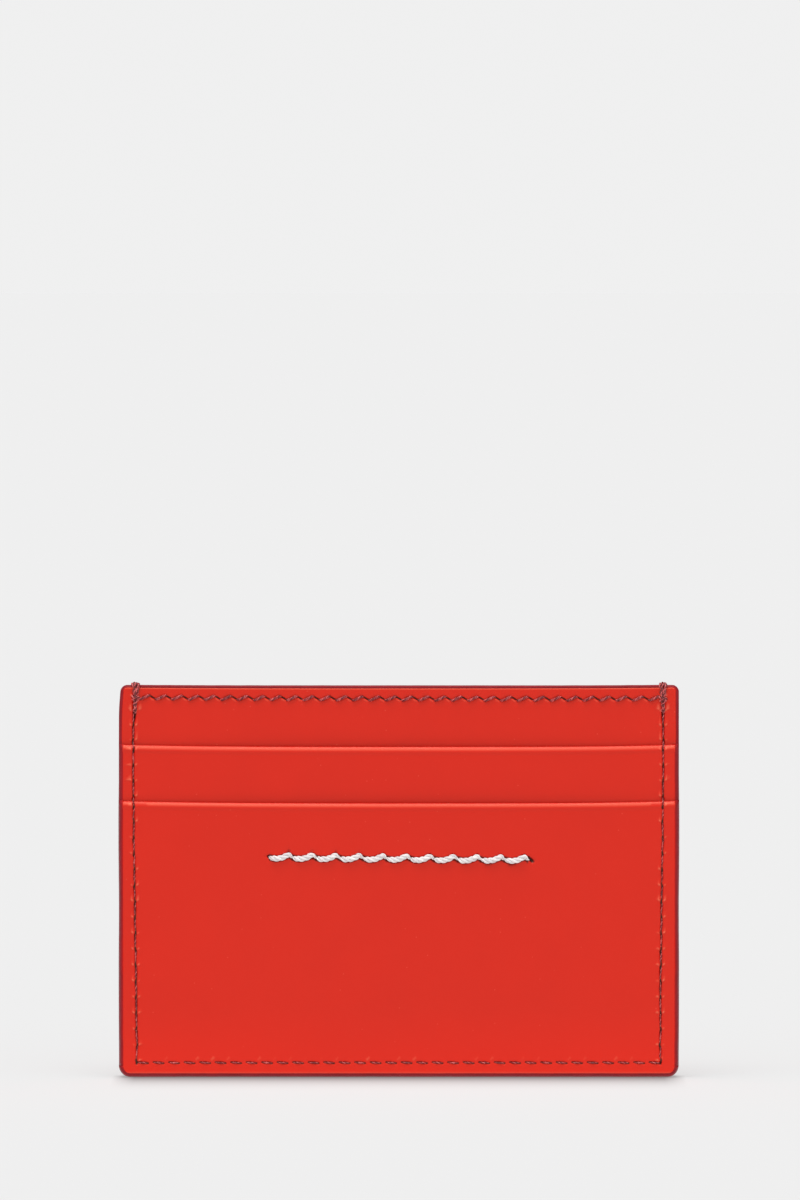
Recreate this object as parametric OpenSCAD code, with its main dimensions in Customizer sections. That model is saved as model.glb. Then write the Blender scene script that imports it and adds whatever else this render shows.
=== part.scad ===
// Flat leather card holder: two sewn leaves of three layers each, with two card
// slots on either side and one open pocket between the leaves.
// Units are millimetres. X is the width, Z is up, and the front faces -Y.
// The origin is the middle of the base edge, on the plane between the two leaves.

/* [Body] */
// Overall width over the painted edges
holder_w = 100; // [95:1:120]
// Overall height over the painted edges, without the corner tacks
holder_h = 70; // [68:1:90]
// Radius of the two bottom corners
base_corner_r = 2.1; // [1:0.1:5]
// Radius of the two top corners of each leaf
top_corner_r = 1.8; // [1:0.1:3]

/* [Sheets] */
// Thickness of the leather sheets
leather_t = 0.5; // [0.45:0.05:0.8]
// Thickness of the woven linings and dividers
lining_t = 0.1; // [0.05:0.05:0.3]
// Thickness of the painted coat on the cut edges
coat_t = 0.3; // [0.1:0.05:0.5]

/* [Pockets] */
// Thickness of one card
card_t = 0.76; // [0.5:0.01:1]
// Free play of a card in its slot
card_play = 0.04; // [0.02:0.01:0.3]
// Width of the open pocket between the leaves
centre_gap = 0.6; // [0.4:0.1:4]
// Height of the outer pocket's lip above the base
outer_lip_z = 49.4; // [35:0.1:54]
// Rise from one lip to the next
lip_step = 10; // [6:0.5:12]
// How far the middle band reaches down behind the outer panel
band_tuck = 9; // [4:0.5:20]
// Height of the divider's sewn hem
hem_h = 3; // [1:0.5:5]
// How far a lining stops short of the edge that it faces
lining_inset = 1; // [0.5:0.1:3]

/* [Seams] */
// Distance of the perimeter seam from the outer edge
seam_inset = 3; // [2:0.1:4]
// Width of margin filler left inside the seam
filler_reach = 1.6; // [1:0.1:4]
// Nominal length of one perimeter stitch
seam_pitch = 2.8; // [2:0.1:4]
// Diameter of the perimeter thread
seam_thread_d = 0.3; // [0.15:0.05:0.35]
// Radius of a perimeter needle hole
needle_hole_r = 0.3; // [0.2:0.05:0.5]
// Distance of the top row from the top edge
top_row_inset = 2; // [1.5:0.1:3]
// Nominal length of one stitch in the top row
top_pitch = 2.9; // [2:0.1:4]
// Diameter of the heavy thread in the top row
top_thread_d = 0.5; // [0.3:0.05:0.8]
// Height that each slanted stitch in the top row climbs
top_slant = 0.7; // [0:0.1:1.5]

/* [Contrast stitches] */
// Number of large stitches in the decorative row
contrast_count = 11; // [3:1:15]
// Length of one large stitch
contrast_pitch = 4.2; // [3:0.05:6]
// Diameter of the contrast cord
contrast_d = 1; // [0.6:0.1:1.4]
// Distance of the decorative row below the outer lip
contrast_drop = 10; // [6:0.1:30]
// Height that each large stitch climbs
contrast_slant = 0.7; // [0:0.1:1.5]

/* [Corner tacks] */
// Number of thread wraps over the top edge at each corner
tack_wraps = 3; // [1:1:5]
// Thickness of one wrap
tack_d = 0.3; // [0.2:0.05:0.5]

/* [Hidden] */
$fn = 48;
// Radial clearance of a thread in its hole and its groove
thread_clear = 0.01;
// Overshoot of a cutter past the solid that it cuts
cut = 1;

// Outline of the leather inside the edge coat
body_w = holder_w - 2 * coat_t;
base_z = coat_t;
top_z = holder_h - coat_t;
mid_lip_z = outer_lip_z + lip_step;
band_base_z = outer_lip_z - band_tuck;

// Stack of one leaf, as distances from the plane between the leaves
slot_gap = card_t + card_play;
inner_lining_y = centre_gap / 2;
inner_panel_y = inner_lining_y + lining_t;
inner_slot_y = inner_panel_y + leather_t;
divider_y = inner_slot_y + slot_gap;
mid_band_y = divider_y + lining_t;
outer_slot_y = mid_band_y + leather_t;
outer_lining_y = outer_slot_y + slot_gap;
outer_panel_y = outer_lining_y + lining_t;
face_y = outer_panel_y + leather_t;

// Seams
seam_x = holder_w / 2 - seam_inset;
seam_top_z = holder_h - top_row_inset;
// Free distance between a needle hole and the lip beside it
lip_clear = 0.8;
filler_x = seam_x - filler_reach;
pocket_floor_z = seam_inset + filler_reach;
// The floor of an inner slot is one lip step above the floor of the outer slot
inner_floor_z = pocket_floor_z + lip_step;
groove_w = seam_thread_d + 2 * thread_clear;
groove_depth = seam_thread_d + thread_clear;
// Bare length of a stitch's end over the middle of its hole
stitch_end_gap = 0.1;
// Gap between the ends of neighbouring margin fillers
filler_joint = 0.1;
filler_base_z = pocket_floor_z + filler_joint;
// How much wider than its thread the corner is where a stitch drops over a lip
drop_swell = 0.02;

// Contrast stitches: a punched hole is a little narrower than the cord that it grips
hole_grip = 0.9;
contrast_hole_r = hole_grip * contrast_d / 2;
contrast_z = outer_lip_z - contrast_drop;
CONTRAST_X = [for (i = [0:contrast_count]) (i - contrast_count / 2) * contrast_pitch];

// Corner tacks
tack_foot_r = tack_d / 4;
tack_half_w = tack_wraps * tack_d / 2 + (tack_wraps - 1) * thread_clear;
tack_base_z = seam_top_z + needle_hole_r + thread_clear;

LEAF_PIECES = [
  "outer_panel", "outer_lining", "outer_filler_left", "outer_filler_right", "outer_filler_base",
  "mid_band", "mid_divider", "divider_hem", "inner_filler_left", "inner_filler_right",
  "inner_filler_base", "inner_panel", "inner_lining", "top_thread", "top_edge_coat"];
SHARED_PIECES = [
  "centre_filler_left", "centre_filler_right", "centre_filler_base", "seam_thread_front",
  "seam_thread_rear", "contrast_thread", "corner_tack_left", "corner_tack_right",
  "edge_coat_left", "edge_coat_right", "edge_coat_base"];

// ---- Seam layout ----

// Evenly spaced values from a to b, as near to the pitch as whole stitches allow
function steps(a, b, pitch) =
  let (n = max(1, round(abs(b - a) / pitch))) [for (i = [0:n]) a + (b - a) * i / n];

// The three stretches of a side seam: on the outer panel, the middle band and the inner panel
SIDE_ZONES = [
  steps(seam_inset, outer_lip_z - lip_clear, seam_pitch),
  steps(outer_lip_z + lip_clear, mid_lip_z - lip_clear, seam_pitch),
  steps(mid_lip_z + lip_clear, seam_top_z, seam_pitch)];
ZONE_FACE_Y = [face_y, outer_slot_y, inner_slot_y];
BASE_ROW = steps(-seam_x, seam_x, seam_pitch);
TOP_ROW = steps(-seam_x, seam_x, top_pitch);

// Needle holes [x, z, distance of the visible face from the middle plane]
SEAM_HOLES = concat(
  [for (side = [-1, 1], zone = [0:2], z = SIDE_ZONES[zone]) [side * seam_x, z, ZONE_FACE_Y[zone]]],
  [for (i = [1:len(BASE_ROW) - 2]) [BASE_ROW[i], seam_inset, face_y]]);

// ---- Outlines ----

// Rectangle with its own radius on the bottom and the top corners
module rounded_outline(w, z0, z1, r0, r1) {
  difference() {
    translate([-w / 2, z0]) square([w, z1 - z0]);
    for (side = [-1, 1]) {
      corner_cut(side, w / 2, z0, r0, -1);
      corner_cut(side, w / 2, z1, r1, 1);
    }
  }
}

// What is cut off one corner to round it: side and up are -1 or 1
module corner_cut(side, x, z, r, up) {
  difference() {
    translate([side * x, z]) square(2 * r, center = true);
    translate([side * (x - r), z - up * r]) circle(r);
    translate([side * (x - r) - (side > 0 ? 2 * r : 0), z - (up > 0 ? 2 * r : 0)]) square(2 * r);
    translate([side * x - (side > 0 ? 2 * r : 0), z - up * r - (up > 0 ? 2 * r : 0)]) square(2 * r);
  }
}

module leather_outline() {
  rounded_outline(body_w, base_z, top_z, base_corner_r - coat_t, top_corner_r - coat_t);
}

module coated_outline() {
  rounded_outline(holder_w, 0, holder_h, base_corner_r, top_corner_r);
}

// The part of an outline between two heights and within a half width
module band_of(z0, z1, half_w = holder_w) {
  intersection() {
    children();
    translate([-half_w, z0]) square([2 * half_w, z1 - z0]);
  }
}

module needle_holes_2d() {
  for (hole = SEAM_HOLES) translate([hole[0], hole[1]]) circle(needle_hole_r);
}

module top_row_holes_2d() {
  for (x = TOP_ROW) if (abs(x) < seam_x - needle_hole_r)
    translate([x, seam_top_z]) circle(needle_hole_r);
}

// ---- Building blocks ----

// Extrudes an outline drawn in X and Z from distance y to y + t
module plate(y, t) {
  translate([0, y + t, 0]) rotate([90, 0, 0]) linear_extrude(t) children();
}

// Straight groove for a flush thread, from point a to point b in the face at distance y
module groove(a, b, y) {
  span = b - a;
  translate([a[0], y - groove_depth, a[1]])
    rotate([0, -atan2(span[1], span[0]), 0])
      translate([-groove_w / 2, 0, -groove_w / 2])
        cube([norm(span) + groove_w, groove_depth + cut, groove_w]);
}

// Grooves of both side seams between two heights
module side_grooves(z0, z1, y) {
  for (side = [-1, 1]) groove([side * seam_x, z0], [side * seam_x, z1], y);
}

// Rounds the turned lip of a sheet of thickness t that ends at height z
module round_lip(y, t, z) {
  difference() {
    children();
    translate([-holder_w / 2 - cut, y, z - t / 2]) rotate([90, 0, 90]) linear_extrude(holder_w + 2 * cut)
      difference() {
        translate([-cut, 0]) square([t + 2 * cut, t / 2 + cut]);
        translate([t / 2, 0]) circle(t / 2);
      }
  }
}

// Thread or pin of radius r along Y, from distance y0 to y1
module pin(x, z, r, y0, y1) {
  translate([x, y0, z]) rotate([-90, 0, 0]) cylinder(h = y1 - y0, r = r);
}

// Straight stretch of thread from point a to point b at distance y
module thread_bar(a, b, r, y) {
  span = b - a;
  translate([a[0], y, a[1]]) rotate([0, 90 - atan2(span[1], span[0]), 0]) cylinder(h = norm(span), r = r);
}

// One stitch between two holes at one level, short of each hole's middle
module stitch(a, b, r, y) {
  along = (b - a) / norm(b - a);
  thread_bar(a + along * stitch_end_gap, b - along * stitch_end_gap, r, y);
}

// Puts a piece drawn for the rear leaf on the named leaf
module on_leaf(leaf) {
  if (leaf == "front") mirror([0, 1, 0]) children();
  else children();
}

// ---- Sheets of one leaf ----

module outer_panel(has_contrast) {
  color([0.85, 0.2, 0.16]) round_lip(outer_panel_y, leather_t, outer_lip_z) difference() {
    plate(outer_panel_y, leather_t) difference() {
      band_of(base_z, outer_lip_z) leather_outline();
      needle_holes_2d();
      if (has_contrast) contrast_holes_2d();
    }
    side_grooves(seam_inset, outer_lip_z + cut, face_y);
    groove([-seam_x, seam_inset], [seam_x, seam_inset], face_y);
  }
}

module outer_lining() {
  color([0.62, 0.14, 0.12]) plate(outer_lining_y, lining_t) difference() {
    band_of(base_z, outer_lip_z - lining_inset) leather_outline();
    needle_holes_2d();
  }
}

module mid_band() {
  color([0.83, 0.19, 0.15]) round_lip(mid_band_y, leather_t, mid_lip_z) difference() {
    plate(mid_band_y, leather_t) difference() {
      band_of(band_base_z, mid_lip_z) leather_outline();
      needle_holes_2d();
    }
    side_grooves(outer_lip_z, mid_lip_z + cut, outer_slot_y);
  }
}

module mid_divider() {
  color([0.62, 0.14, 0.12]) plate(divider_y, lining_t) difference() {
    band_of(inner_floor_z - hem_h, mid_lip_z - lining_inset) leather_outline();
    needle_holes_2d();
  }
}

// The divider's turned hem, sewn to the inner panel: it is the floor of the inner slot
module divider_hem() {
  color([0.62, 0.14, 0.12]) plate(inner_slot_y, slot_gap)
    band_of(inner_floor_z - hem_h, inner_floor_z, filler_x - filler_joint) leather_outline();
}

module inner_panel() {
  color([0.84, 0.19, 0.15]) difference() {
    plate(inner_panel_y, leather_t) difference() {
      leather_outline();
      needle_holes_2d();
      top_row_holes_2d();
    }
    side_grooves(mid_lip_z, seam_top_z, inner_slot_y);
  }
}

module inner_lining() {
  color([0.62, 0.14, 0.12]) plate(inner_lining_y, lining_t) difference() {
    leather_outline();
    needle_holes_2d();
    top_row_holes_2d();
  }
}

// ---- Margin fillers ----

// Filler strip along one side, from distance y0 to y1 and height z0 to z1
module side_filler(side, y0, y1, z0, z1) {
  plate(y0, y1 - y0) difference() {
    intersection() {
      leather_outline();
      translate([side > 0 ? filler_x : -holder_w / 2, z0]) square([holder_w / 2 - filler_x, z1 - z0]);
    }
    needle_holes_2d();
  }
}

// The side strip beside an outer slot is thicker below the middle band
module outer_side_filler(side) {
  color([0.5, 0.12, 0.1]) {
    side_filler(side, outer_slot_y, outer_lining_y, filler_base_z, outer_lip_z);
    side_filler(side, mid_band_y, outer_slot_y, filler_base_z, band_base_z);
  }
}

module outer_base_filler() {
  color([0.5, 0.12, 0.1]) plate(mid_band_y, outer_lining_y - mid_band_y) base_filler_2d();
}

module inner_side_filler(side) {
  color([0.5, 0.12, 0.1]) side_filler(side, inner_slot_y, divider_y, filler_base_z, mid_lip_z);
}

// The base strip under an inner slot also fills the divider's layer
module inner_base_filler() {
  color([0.5, 0.12, 0.1]) plate(inner_slot_y, mid_band_y - inner_slot_y) base_filler_2d();
}

module base_filler_2d() {
  difference() {
    band_of(base_z, pocket_floor_z) leather_outline();
    needle_holes_2d();
  }
}

module centre_side_filler(side) {
  color([0.5, 0.12, 0.1])
    side_filler(side, -inner_lining_y, inner_lining_y, filler_base_z, top_z);
}

module centre_base_filler() {
  color([0.5, 0.12, 0.1]) plate(-inner_lining_y, centre_gap) base_filler_2d();
}

// ---- Threads ----

// Perimeter thread of one face: pins down to the lock with the other thread, and flush stitches
module seam_thread() {
  r = seam_thread_d / 2;
  color([0.5, 0.1, 0.1]) {
    for (hole = SEAM_HOLES)
      pin(hole[0], hole[1], needle_hole_r - thread_clear, 0, hole[2] - r - thread_clear);
    for (side = [-1, 1], zone = [0:2]) {
      rows = SIDE_ZONES[zone];
      y = ZONE_FACE_Y[zone] - r - thread_clear;
      for (i = [0:len(rows) - 2]) stitch([side * seam_x, rows[i]], [side * seam_x, rows[i + 1]], r, y);
    }
    for (i = [0:len(BASE_ROW) - 2])
      stitch([BASE_ROW[i], seam_inset], [BASE_ROW[i + 1], seam_inset], r, face_y - r - thread_clear);
    for (side = [-1, 1], zone = [0:1]) lip_stitch(side, zone, r);
  }
}

// The stitch that climbs over a lip, from the face below it to the face above it
module lip_stitch(side, zone, r) {
  lip_z = zone == 0 ? outer_lip_z : mid_lip_z;
  low_y = ZONE_FACE_Y[zone + 1] - r - thread_clear;
  high_y = ZONE_FACE_Y[zone] - r - thread_clear;
  drop_r = r + drop_swell;
  drop_z = lip_z + drop_r + thread_clear;
  thread_bar([side * seam_x, lip_z - lip_clear], [side * seam_x, drop_z], r, high_y);
  pin(side * seam_x, drop_z, drop_r, low_y, high_y + r);
  thread_bar([side * seam_x, drop_z], [side * seam_x, lip_z + lip_clear], r, low_y);
}

// Heavy slanted stitches along the top of one leaf, standing proud of the leather
module top_thread() {
  r = top_thread_d / 2;
  y = inner_slot_y + r + thread_clear;
  color([0.55, 0.12, 0.12]) {
    for (x = TOP_ROW) if (abs(x) < seam_x - needle_hole_r)
      pin(x, seam_top_z, needle_hole_r - thread_clear, inner_lining_y, y);
    for (i = [0:len(TOP_ROW) - 2])
      stitch([TOP_ROW[i] + (i == 0 ? tack_half_w : 0), seam_top_z - top_slant / 2],
             [TOP_ROW[i + 1] - (i == len(TOP_ROW) - 2 ? tack_half_w : 0), seam_top_z + top_slant / 2], r, y);
  }
}

module contrast_holes_2d() {
  for (x = CONTRAST_X) translate([x, contrast_z]) circle(contrast_hole_r);
}

// Row of large stitches through the outer leather, closed behind by the lining
module contrast_thread() {
  r = contrast_d / 2;
  y = face_y + r + thread_clear;
  color([0.93, 0.92, 0.9]) {
    for (x = CONTRAST_X) pin(x, contrast_z, contrast_hole_r - thread_clear, outer_panel_y, y);
    for (i = [0:contrast_count - 1])
      stitch([CONTRAST_X[i], contrast_z - contrast_slant / 2],
             [CONTRAST_X[i + 1], contrast_z + contrast_slant / 2], r, y);
  }
}

// Wraps of thread over the top edge that tie the two leaves together at one corner
module corner_tack(side) {
  color([0.5, 0.1, 0.1]) for (i = [0:tack_wraps - 1])
    translate([side * seam_x + (i - (tack_wraps - 1) / 2) * (tack_d + 2 * thread_clear) - tack_d / 2, 0, 0])
      rotate([90, 0, 90]) linear_extrude(tack_d) difference() {
        rounded_outline(2 * (inner_slot_y + thread_clear + tack_d), tack_base_z,
                        holder_h + thread_clear + tack_d, tack_foot_r, tack_d);
        translate([-inner_slot_y - thread_clear, tack_base_z - cut])
          square([2 * (inner_slot_y + thread_clear), holder_h + thread_clear - tack_base_z + cut]);
      }
}

// ---- Edge coats ----

module coat_ring_2d() {
  difference() {
    coated_outline();
    leather_outline();
  }
}

// Coat on one long side, as thick as the stack of sheets at each height
module edge_coat_side(side) {
  zones = [[base_corner_r, outer_lip_z, face_y], [outer_lip_z, mid_lip_z, outer_slot_y],
           [mid_lip_z, holder_h - top_corner_r, inner_slot_y]];
  color([0.45, 0.1, 0.12]) for (zone = zones)
    translate([side > 0 ? body_w / 2 : -holder_w / 2, -zone[2], zone[0]])
      cube([coat_t, 2 * zone[2], zone[1] - zone[0]]);
}

module edge_coat_base() {
  color([0.45, 0.1, 0.12]) plate(-face_y, 2 * face_y) band_of(0, base_corner_r) coat_ring_2d();
}

module top_edge_coat() {
  color([0.45, 0.1, 0.12]) plate(inner_lining_y, inner_slot_y - inner_lining_y)
    band_of(holder_h - top_corner_r, holder_h) coat_ring_2d();
}

// ---- Assembly ----

for (leaf = ["front", "rear"]) {
  on_leaf(leaf) outer_panel(leaf == "front");
  on_leaf(leaf) outer_lining();
  on_leaf(leaf) outer_side_filler(-1);
  on_leaf(leaf) outer_side_filler(1);
  on_leaf(leaf) outer_base_filler();
  on_leaf(leaf) mid_band();
  on_leaf(leaf) mid_divider();
  on_leaf(leaf) divider_hem();
  on_leaf(leaf) inner_side_filler(-1);
  on_leaf(leaf) inner_side_filler(1);
  on_leaf(leaf) inner_base_filler();
  on_leaf(leaf) inner_panel();
  on_leaf(leaf) inner_lining();
  on_leaf(leaf) top_thread();
  on_leaf(leaf) top_edge_coat();
}
centre_side_filler(-1);  // centre_filler_left
centre_side_filler(1);  // centre_filler_right
centre_base_filler();  // centre_filler_base
on_leaf("front") seam_thread();  // seam_thread_front
on_leaf("rear") seam_thread();  // seam_thread_rear
on_leaf("front") contrast_thread();
corner_tack(-1);  // corner_tack_left
corner_tack(1);  // corner_tack_right
edge_coat_side(-1);  // edge_coat_left
edge_coat_side(1);  // edge_coat_right
edge_coat_base();
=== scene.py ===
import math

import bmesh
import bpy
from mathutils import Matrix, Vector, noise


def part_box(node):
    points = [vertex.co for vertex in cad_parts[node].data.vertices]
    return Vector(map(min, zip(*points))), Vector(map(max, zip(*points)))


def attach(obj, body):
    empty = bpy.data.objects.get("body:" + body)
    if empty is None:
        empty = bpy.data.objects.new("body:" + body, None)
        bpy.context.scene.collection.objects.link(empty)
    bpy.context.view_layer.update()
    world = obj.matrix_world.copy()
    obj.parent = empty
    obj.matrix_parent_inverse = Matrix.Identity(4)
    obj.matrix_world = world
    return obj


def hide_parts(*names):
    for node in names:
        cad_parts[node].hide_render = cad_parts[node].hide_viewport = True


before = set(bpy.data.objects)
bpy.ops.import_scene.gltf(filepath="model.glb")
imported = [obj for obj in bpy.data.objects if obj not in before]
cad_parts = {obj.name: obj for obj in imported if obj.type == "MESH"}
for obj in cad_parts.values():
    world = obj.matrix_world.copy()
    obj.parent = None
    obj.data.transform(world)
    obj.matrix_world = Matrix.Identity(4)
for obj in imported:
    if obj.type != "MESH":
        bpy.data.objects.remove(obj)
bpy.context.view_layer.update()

# Looks of a flat card holder: two sewn leaves of red leather with painted edges.
# Shapes are worked out in millimetres and written to the meshes in metres.
# "Out" always means away from the middle plane, towards the face of a leaf.

MM = 0.001


# ---- Sizes taken from the frame, in millimetres ----

def mm_box(node):
    """Lowest and highest corner of a node in millimetres."""
    low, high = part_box(node)
    return low / MM, high / MM


def layer(piece):
    """Inner and outer distance of one of a leaf's pieces from the middle plane."""
    low, high = mm_box("rear_" + piece)
    return low.y, high.y


def heights(node):
    """Lowest and highest point of a node."""
    low, high = mm_box(node)
    return low.z, high.z


HALF_W = mm_box("edge_coat_right")[1].x
TOP_Z = heights("front_top_edge_coat")[1]
OUTER_LIP = heights("front_outer_panel")[1]
MID_LIP = heights("front_mid_band")[1]
OUTER_FACE = layer("outer_panel")[1]
MID_FACE = layer("mid_band")[1]
INNER_FACE = layer("inner_panel")[1]
NEEDLE_PIN = 0.29
BASE_SEAM_DROP = 0.3
SEAM_X = mm_box("seam_thread_rear")[1].x - NEEDLE_PIN
SEAM_Z = heights("seam_thread_rear")[0] + NEEDLE_PIN
BASE_SEAM_Z = SEAM_Z - BASE_SEAM_DROP
ROW_Z = sum(heights("rear_top_thread")) / 2
FILLER_X = mm_box("centre_filler_right")[0].x
CORD_Z = sum(heights("contrast_thread")) / 2
CORD_COUNT = 11
CORD_END = 0.45
CORD_HALF = mm_box("contrast_thread")[1].x - CORD_END
SEAM_PITCH = 2.8
ROW_PITCH = 2.9
LIP_CLEAR = 0.8

# Corners of the silhouette, and how far the painted edge reaches over each face
BASE_R = 2.1
TOP_R = 1.25
LOW_COAT = 0.74
MID_COAT = 0.73
HIGH_COAT = 0.54
BASE_COAT = 0.7
TOP_COAT = 0.3
COAT_LAP = 0.13
SHEET_HALF = HALF_W - LOW_COAT

# How the sewn leaves stand apart: pinched at the margins, open at the lips
PINCH = 0.88
OPEN = 1.34
LEAN = 0.3

# Irregularities of the sewn holder
TOP_SAG = 0.14
LIP_SAG = 0.34
SAG_X = 8
SAG_LEFT = 58
SAG_RIGHT = 41
TAPER = 0.3
TAPER_HEIGHT = 3.2
ROW_DROP = 0.22
ROW_SLOPE = 0.1
CORD_SLOPE = 0.01
# How far a side seam strays outwards at its foot and its head, and the heights between which it does
LEFT_DRIFT = (-0.25, 0.37, 8, 53)
RIGHT_DRIFT = (-0.36, 0.15, 15, 55)


def clamp(value):
    """The value held between 0 and 1."""
    return min(max(value, 0.0), 1.0)


def bell(off, size, power=2):
    """1 at no distance, falling to 0 past the size. A higher power makes the top flatter."""
    return math.exp(-(off / size) ** power)


def waver(*place):
    """Smooth noise at a place, between about -1 and 1."""
    return noise.noise(Vector(place))


def steps(start, end, pitch):
    """Needle positions from start to end, as near to the pitch as whole stitches allow."""
    count = max(1, round(abs(end - start) / pitch))
    return [start + (end - start) * i / count for i in range(count + 1)]


# Holes of a side seam on the outer panel, the middle band and the inner panel
SIDE_ZONES = [steps(SEAM_Z, OUTER_LIP - LIP_CLEAR, SEAM_PITCH),
              steps(OUTER_LIP + LIP_CLEAR, MID_LIP - LIP_CLEAR, SEAM_PITCH),
              steps(MID_LIP + LIP_CLEAR, ROW_Z, SEAM_PITCH)]
BASE_ROW = steps(-SEAM_X, SEAM_X, SEAM_PITCH)
TOP_ROW = steps(-SEAM_X, SEAM_X, ROW_PITCH)
TACK_X = SEAM_X + 0.12
TACK_FOOT = SIDE_ZONES[2][-2] - 0.35
CORD_ROW = [CORD_HALF * (2 * i / CORD_COUNT - 1) for i in range(CORD_COUNT + 1)]


# ---- How a leaf bows ----

def bow(x, z):
    """0 where the leaf is sewn down, and 1 in the middle of its open mouth."""
    across = max(0.0, 1 - (x / SEAM_X) ** 2) ** 1.25
    up = clamp((z - SEAM_Z) / (OUTER_LIP - SEAM_Z))
    return across * up * (1.6 - 0.6 * up)


def mouth(x, z):
    """1 at the middle of the top edge, where the centre pocket opens."""
    return bow(x, z) * clamp((z - MID_LIP * 0.5) / (TOP_Z - MID_LIP * 0.5))


def bowed(y, x, z):
    """Distance from the middle plane at which a layer that the frame has at y lies."""
    return y * (PINCH + (OPEN - PINCH) * bow(x, z)) + LEAN * mouth(x, z)


def sag(x, z):
    """How far the lips hang below a straight line, lowest right of the middle, less at the top edge."""
    reach = SAG_RIGHT if x > SAG_X else SAG_LEFT
    across = max(0.0, 1 - ((x - SAG_X) / reach) ** 4)
    up = clamp((z - SEAM_Z) / (OUTER_LIP - SEAM_Z))
    depth = TOP_SAG + (LIP_SAG - TOP_SAG) * clamp((TOP_Z - 4 - z) / 5)
    return depth * across * up ** 3


def drift(x, z):
    """How far outwards a side seam strays from its straight line."""
    foot, head, low, high = LEFT_DRIFT if x < 0 else RIGHT_DRIFT
    return foot + (head - foot) * clamp((z - low) / (high - low))


def row_level(x):
    """Height of the heavy row, which slopes down a little to the right."""
    return ROW_Z - ROW_DROP - ROW_SLOPE * x / SEAM_X


def cord_level(x):
    """Height of the large contrast row, which slopes the same way."""
    return CORD_Z - CORD_SLOPE * x


def side_of(leaf):
    """-1 for the front leaf, and 1 for the rear leaf and what both share."""
    return -1 if leaf == "front" else 1


def placed(side, x, y, z):
    """A point in metres of a leaf, from its place in the frame in millimetres."""
    return Vector((x + taper(x, z), side * bowed(y, x, z), z - sag(x, z))) * MM


def on_face(side, face, x, z, out):
    """A point in metres that stands out from a face of the leaf."""
    point = placed(side, x, face, z)
    point.y += side * out * MM
    return point


# ---- Outline and painted edge ----

def ease(value):
    """Quarter of a circle from 0 to 1, as a rounded lip falls away."""
    return math.sqrt(1 - (1 - clamp(value)) ** 2)


def coat_reach(z):
    """How far the paint reaches in from the silhouette at a height on the sides."""
    low = ease((OUTER_LIP + 0.15 - z) / 0.9)
    mid = ease((MID_LIP + 0.15 - z) / 0.9)
    return HIGH_COAT + (MID_COAT - HIGH_COAT) * mid + (LOW_COAT - MID_COAT) * low


def edge_half(z):
    """Half thickness of the sewn stack at a height on the sides."""
    low = ease((OUTER_LIP + 0.1 - z) / 0.8)
    mid = ease((MID_LIP + 0.1 - z) / 0.8)
    return PINCH * (INNER_FACE + (MID_FACE - INNER_FACE) * mid + (OUTER_FACE - MID_FACE) * low)


def taper(x, z):
    """The left side leans in a little towards its top corner."""
    return TAPER * bell(TOP_Z - z, TAPER_HEIGHT) * clamp(-x / HALF_W) ** 4


def half_width(z):
    """Half width of the leather at a height, inside the painted edge."""
    reach = coat_reach(z)
    low_r, high_r = BASE_R - BASE_COAT, TOP_R - HIGH_COAT
    low_z, high_z = BASE_COAT + low_r, TOP_Z - TOP_COAT - high_r
    if z < low_z:
        return HALF_W - reach - low_r + math.sqrt(max(low_r ** 2 - (low_z - z) ** 2, 0))
    if z > high_z:
        return HALF_W - reach - high_r + math.sqrt(max(high_r ** 2 - (z - high_z) ** 2, 0))
    return HALF_W - reach


# ---- Marks pressed into the leather ----

# Half widths of what a stitch presses in: the furrow under it and the flat bed of a base stitch
FURROW = 0.18
BED = 0.26
# Awl slits of the two decorative rows: half length, half width and slope
ROW_SLIT = (0.66, 0.13, math.radians(31))
CORD_SLIT = (0.45, 0.24, math.radians(40))
# How much longer the last hole of the contrast row is, and how strong the painted highlight along the rims
# and lips is
CORD_TEAR = 0.32
PAINTED_HIGHLIGHT_STRENGTH = 0.35


def nearest(row, at):
    """Signed distance to the nearest needle hole of an even row, and the hole's number."""
    pitch = (row[-1] - row[0]) / (len(row) - 1)
    index = round(min(max((at - row[0]) / pitch, 0), len(row) - 1))
    return at - row[index], index


def ridge(run, off, run_size, off_size):
    """A soft oval bump, 1 at its middle."""
    return math.exp(-(run / run_size) ** 2 - (off / off_size) ** 2)


def side_mark(row, along, across):
    """Depth and darkness of a side seam: a broken dark line, with puckers beside each hole.

    The darkness is painted shade in the holes and along the furrow, and a darkness below nothing is a
    painted highlight on the puckers.
    """
    if abs(across) > 2.2 or along < row[0] - 0.6 or along > row[-1] + 0.6:
        return 0.0, 0.0
    gap, index = nearest(row, along)
    jitter = waver(row[0] + index * 3.1, math.copysign(9.3, across), 7.7)
    off = across - 0.2 * waver(along * 1.1, row[0], 2.2)
    hole = ridge(gap + 0.3, off, 0.4, 0.19)
    line = bell(off, FURROW, 4) * (0.5 + 0.3 * math.cos(math.pi * gap))
    away = abs(across) - 0.5
    pucker = ridge(gap - 0.15 - 0.5 * away - 0.3 * jitter, away, 0.19, 0.21) * clamp(0.75 + 1.5 * jitter)
    return 0.14 * bell(off, FURROW + 0.04) + 0.2 * hole - 0.17 * pucker, max(hole, line) - pucker


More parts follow.
